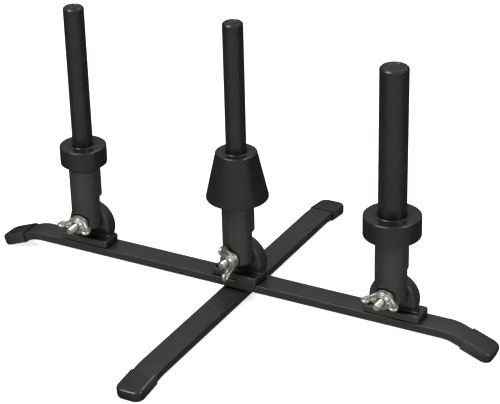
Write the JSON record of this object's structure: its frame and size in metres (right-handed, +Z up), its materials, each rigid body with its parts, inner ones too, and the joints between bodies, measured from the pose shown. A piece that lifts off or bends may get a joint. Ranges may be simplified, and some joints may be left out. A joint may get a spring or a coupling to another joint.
{
  "type": "three-peg woodwind instrument stand",
  "caption": "Folding cross-base stand with tilting pegs of different thickness, collars or a cone at their feet, and a wing nut on each hinge.",
  "frame": {"origin": "on the floor, under the middle of the long bar", "axes": "+X along the long bar, +Y along the cross bar to the rear, +Z up along the pegs"},
  "size_m": [0.4242, 0.3298, 0.2234],
  "materials": {
    "bar_coat": "satin black powder coat",
    "cap_plastic": "smooth moulded black",
    "moulded_plastic": "satin moulded black",
    "peg_plastic": "satin black, smoother than the holders",
    "zinc": "bright zinc plate"
  },
  "bodies": {
    "base": {"long_bar": "bar_coat", "foot_cap_left": "cap_plastic", "foot_cap_right": "cap_plastic", "pivot_bolt": "zinc", "pivot_washer": "zinc", "bracket_screw_1": "zinc", "bracket_screw_2": "zinc", "bracket_screw_3": "zinc", "bracket_screw_4": "zinc", "hinge_bracket_left": "moulded_plastic", "hinge_bracket_right": "moulded_plastic", "hinge_bolt_left": "zinc", "hinge_bolt_right": "zinc"},
    "cross_leg": {"cross_bar": "bar_coat", "foot_cap_front": "cap_plastic", "foot_cap_rear": "cap_plastic"},
    "centre_hinge": {"hinge_bracket_centre": "moulded_plastic", "hinge_bolt_centre": "zinc"},
    "left_post": {"peg_holder_left": "moulded_plastic", "narrow_peg": "peg_plastic", "left_collar": "peg_plastic"},
    "centre_post": {"peg_holder_centre": "moulded_plastic", "tall_peg": "peg_plastic", "centre_cone": "peg_plastic"},
    "right_post": {"peg_holder_right": "moulded_plastic", "wide_peg": "peg_plastic", "right_collar": "peg_plastic"},
    "left_clamp_washer": {"hinge_washer_left": "zinc"},
    "centre_clamp_washer": {"hinge_washer_centre": "zinc"},
    "right_clamp_washer": {"hinge_washer_right": "zinc"},
    "left_clamp_nut": {"wing_nut_left": "zinc"},
    "centre_clamp_nut": {"wing_nut_centre": "zinc"},
    "right_clamp_nut": {"wing_nut_right": "zinc"}
  },
  "joints": [
    {"name": "cross_leg_fold", "type": "hinge", "parent": "base", "child": "cross_leg", "pos_m": [0.0035, 0, 0.0078], "axis": [0, 0, 1], "range_deg": [-90, 90]},
    {"name": "centre_hinge_turn", "type": "hinge", "parent": "base", "child": "centre_hinge", "pos_m": [0.0035, 0, 0.0216], "axis": [0, 0, 1], "range_deg": [-90, 90]},
    {"name": "left_post_tilt", "type": "hinge", "parent": "base", "child": "left_post", "pos_m": [-0.1325, 0, 0.0374], "axis": [0, 1, 0], "range_deg": [-90, 40]},
    {"name": "centre_post_tilt", "type": "hinge", "parent": "centre_hinge", "child": "centre_post", "pos_m": [0.0035, 0, 0.0374], "axis": [0.1045, 0.9945, 0], "range_deg": [-35, 35]},
    {"name": "right_post_tilt", "type": "hinge", "parent": "base", "child": "right_post", "pos_m": [0.131, -0.0035, 0.0374], "axis": [0, 1, 0], "range_deg": [-38, 86]},
    {"name": "left_washer_slide", "type": "slide", "parent": "base", "child": "left_clamp_washer", "axis": [0, -1, 0], "range_m": [0, 0.0031]},
    {"name": "left_wing_nut_turn", "type": "hinge", "parent": "left_clamp_washer", "child": "left_clamp_nut", "pos_m": [-0.1325, -0.0145, 0.0374], "axis": [0, -1, 0], "range_deg": [0, 1080]},
    {"name": "centre_washer_slide", "type": "slide", "parent": "centre_hinge", "child": "centre_clamp_washer", "axis": [-0.1045, -0.9945, 0], "range_m": [0, 0.0031]},
    {"name": "centre_wing_nut_turn", "type": "hinge", "parent": "centre_clamp_washer", "child": "centre_clamp_nut", "pos_m": [0.00198, -0.01442, 0.0374], "axis": [-0.1045, -0.9945, 0], "range_deg": [0, 1080]},
    {"name": "right_washer_slide", "type": "slide", "parent": "base", "child": "right_clamp_washer", "axis": [0, -1, 0], "range_m": [0, 0.0031]},
    {"name": "right_wing_nut_turn", "type": "hinge", "parent": "right_clamp_washer", "child": "right_clamp_nut", "pos_m": [0.131, -0.018, 0.0374], "axis": [0, -1, 0], "range_deg": [0, 1080]}
  ],
  "couplings": [
    {"joint": "left_washer_slide", "follows": "left_wing_nut_turn", "m_per_rad": 0.00015915},
    {"joint": "centre_washer_slide", "follows": "centre_wing_nut_turn", "m_per_rad": 0.00015915},
    {"joint": "right_washer_slide", "follows": "right_wing_nut_turn", "m_per_rad": 0.00015915}
  ]
}
